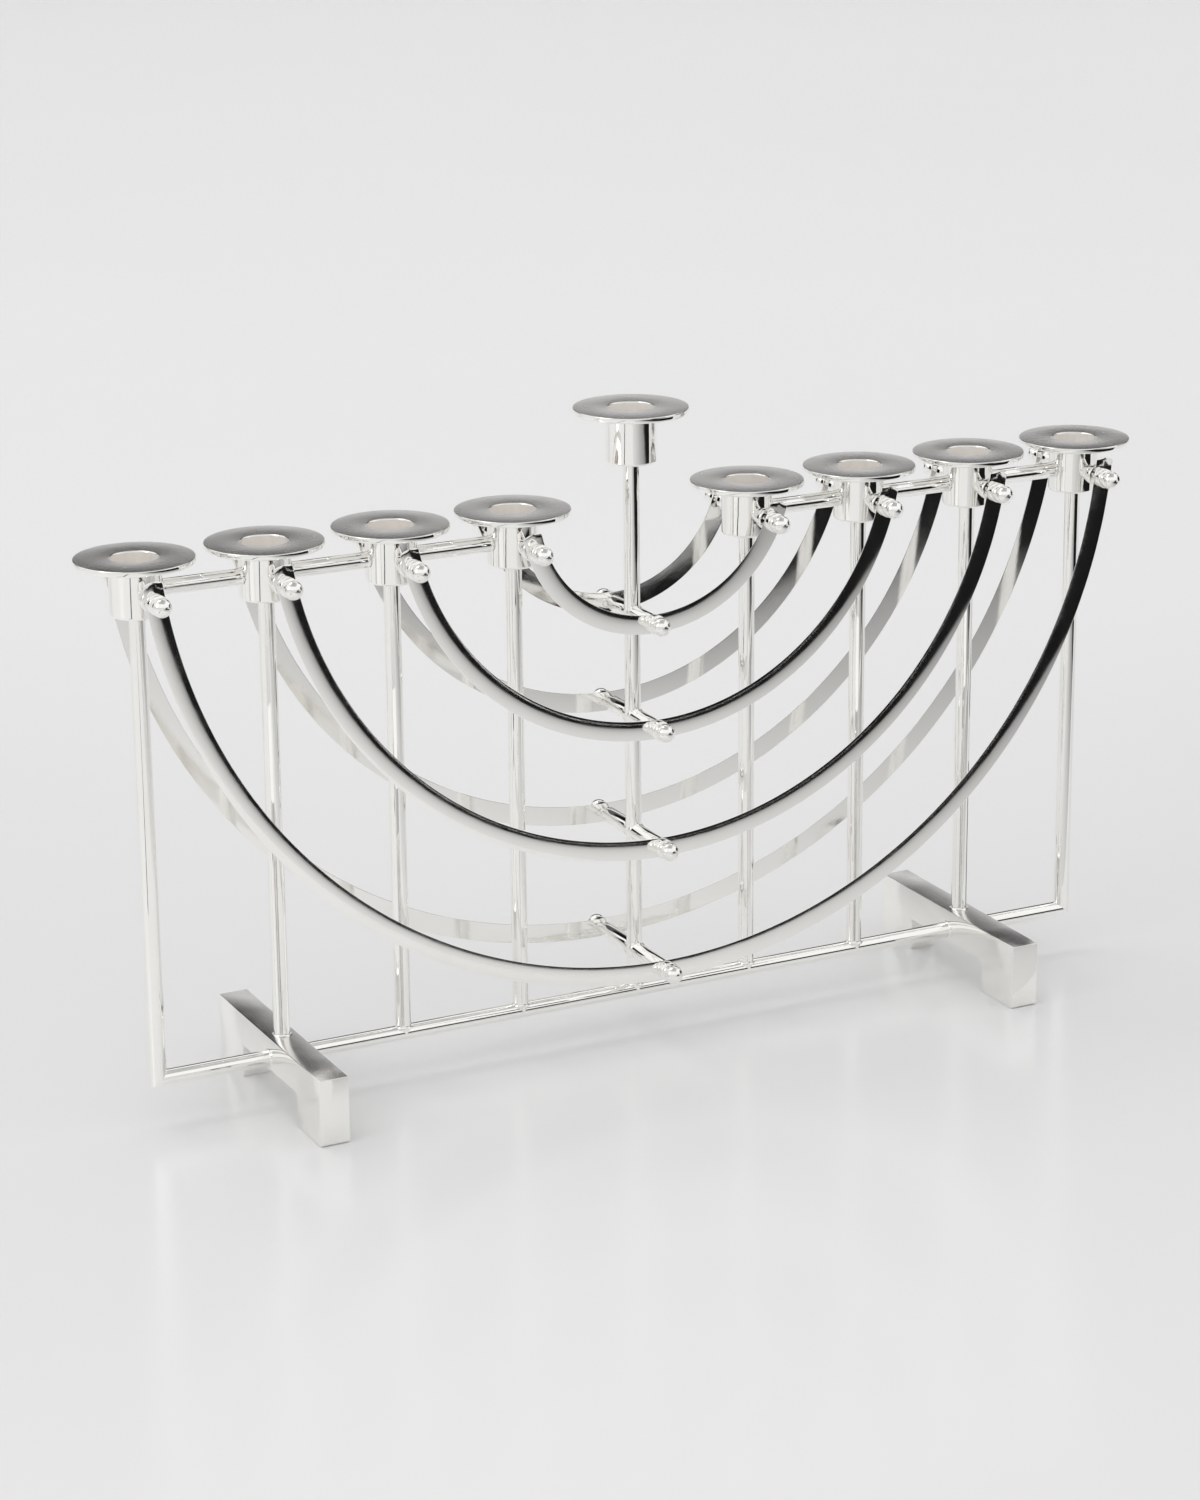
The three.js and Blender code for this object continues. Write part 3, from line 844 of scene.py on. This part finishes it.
def glowing_card_tone(name, *stops, stands=False):
    """A card that glows with set tones, whatever light falls on it: painted light and shade, graded from
    left to right by stops.

    One that stands is not mirrored in the floor close to its foot.
    """
    material = bpy.data.materials.new(name)
    material.use_nodes = True
    nodes, links = material.node_tree.nodes, material.node_tree.links
    front = nodes["Principled BSDF"]
    front.inputs["Base Color"].default_value = (0, 0, 0, 1)
    front.inputs["Specular IOR Level"].default_value = 0
    front.inputs["Emission Strength"].default_value = 1.0
    across = nodes.new("ShaderNodeVectorMath")
    across.operation = "DOT_PRODUCT"
    across.inputs[1].default_value = right / 4
    links.new(nodes.new("ShaderNodeTexCoord").outputs["Object"], across.inputs[0])
    from_left = nodes.new("ShaderNodeMath")
    from_left.operation = "ADD"
    from_left.inputs[1].default_value = 0.5
    links.new(across.outputs["Value"], from_left.inputs[0])
    # The stops set the tones the card glows with from left to right: painted light and shade.
    shade = nodes.new("ShaderNodeValToRGB")
    while len(shade.color_ramp.elements) < len(stops):
        shade.color_ramp.elements.new(0.5)
    for element, (out, tone) in zip(shade.color_ramp.elements, stops):
        element.position = out / 4 + 0.5
        element.color = (tone, tone, tone, 1)
    links.new(from_left.outputs["Value"], shade.inputs["Fac"])
    links.new(shade.outputs["Color"], front.inputs["Emission Color"])
    front_only = nodes.new("ShaderNodeMath")
    front_only.operation = "SUBTRACT"
    front_only.inputs[0].default_value = 1.0
    links.new(nodes.new("ShaderNodeNewGeometry").outputs["Backfacing"], front_only.inputs[1])
    links.new(front_only.outputs["Value"], front.inputs["Alpha"])
    if stands:
        far_off = nodes.new("ShaderNodeMapRange")
        far_off.inputs["From Min"].default_value = 0.5
        far_off.inputs["From Max"].default_value = 0.9
        ray = nodes.new("ShaderNodeLightPath").outputs["Ray Length"]
        links.new(ray, far_off.inputs["Value"])
        both = nodes.new("ShaderNodeMath")
        both.operation = "MULTIPLY"
        links.new(front_only.outputs["Value"], both.inputs[0])
        links.new(far_off.outputs["Result"], both.inputs[1])
        links.new(both.outputs["Value"], front.inputs["Alpha"])
    return material


black_card = glowing_card_tone("black_card", (-2.0, 0.006), (2.0, 0.012))
standing_card = glowing_card_tone("standing_card", (-2.0, 0.006), (2.0, 0.012), stands=True)
# The floor card glows pale near the piece and fades to near-black further right: a painted falloff of
# light, which the silver mirrors in place of the floor under it.
painted_falloff_card = glowing_card_tone("painted_falloff_card", (0.06, 0.76), (0.20, 0.60), (0.38, 0.30), (0.41, 0.01))
# The back card glows brightest at its middle and darker to both sides: a painted band of light, which the
# silver mirrors.
painted_light_band_card = glowing_card_tone("painted_light_band_card", (-0.6, 0.10), (0.0, 0.42), (0.6, 0.10))
# The overhead card glows grey, paler at its ends than at its middle: painted light and shade overhead,
# which the silver mirrors in place of the white surround.
painted_overhead_card = glowing_card_tone("painted_overhead_card", (-0.9, 0.62), (0.0, 0.42), (0.9, 0.55))
studio_card("dark_floor", (0.53, -0.64, 0.002), (0.94, 1.3), 0, 0, painted_falloff_card)
studio_card("dark_wall", (1.2, -0.83, 0.17), (0.75, 0.34), 90, 235.5, standing_card)
studio_card("dark_side", (1.1, 0.55, 0.3), (0.9, 0.6), 90, 296, standing_card)
studio_card("dark_strip", (-0.205, -0.7, 0.002), (0.02, 1.0), 0, 0, black_card)
studio_card("grey_back", (0, 2.2, 0.81), (3.4, 0.4), 90, 0, painted_light_band_card)
studio_card("dark_back", (0, 2.2, 1.46), (3.4, 0.9), 90, 0, black_card)
studio_card("dark_left", (-1.25, 0.75, 0.3), (0.45, 0.6), 90, 59, standing_card)
studio_card("grey_top", (0, 0, 2.3), (2.6, 2.6), 180, 0, painted_overhead_card)
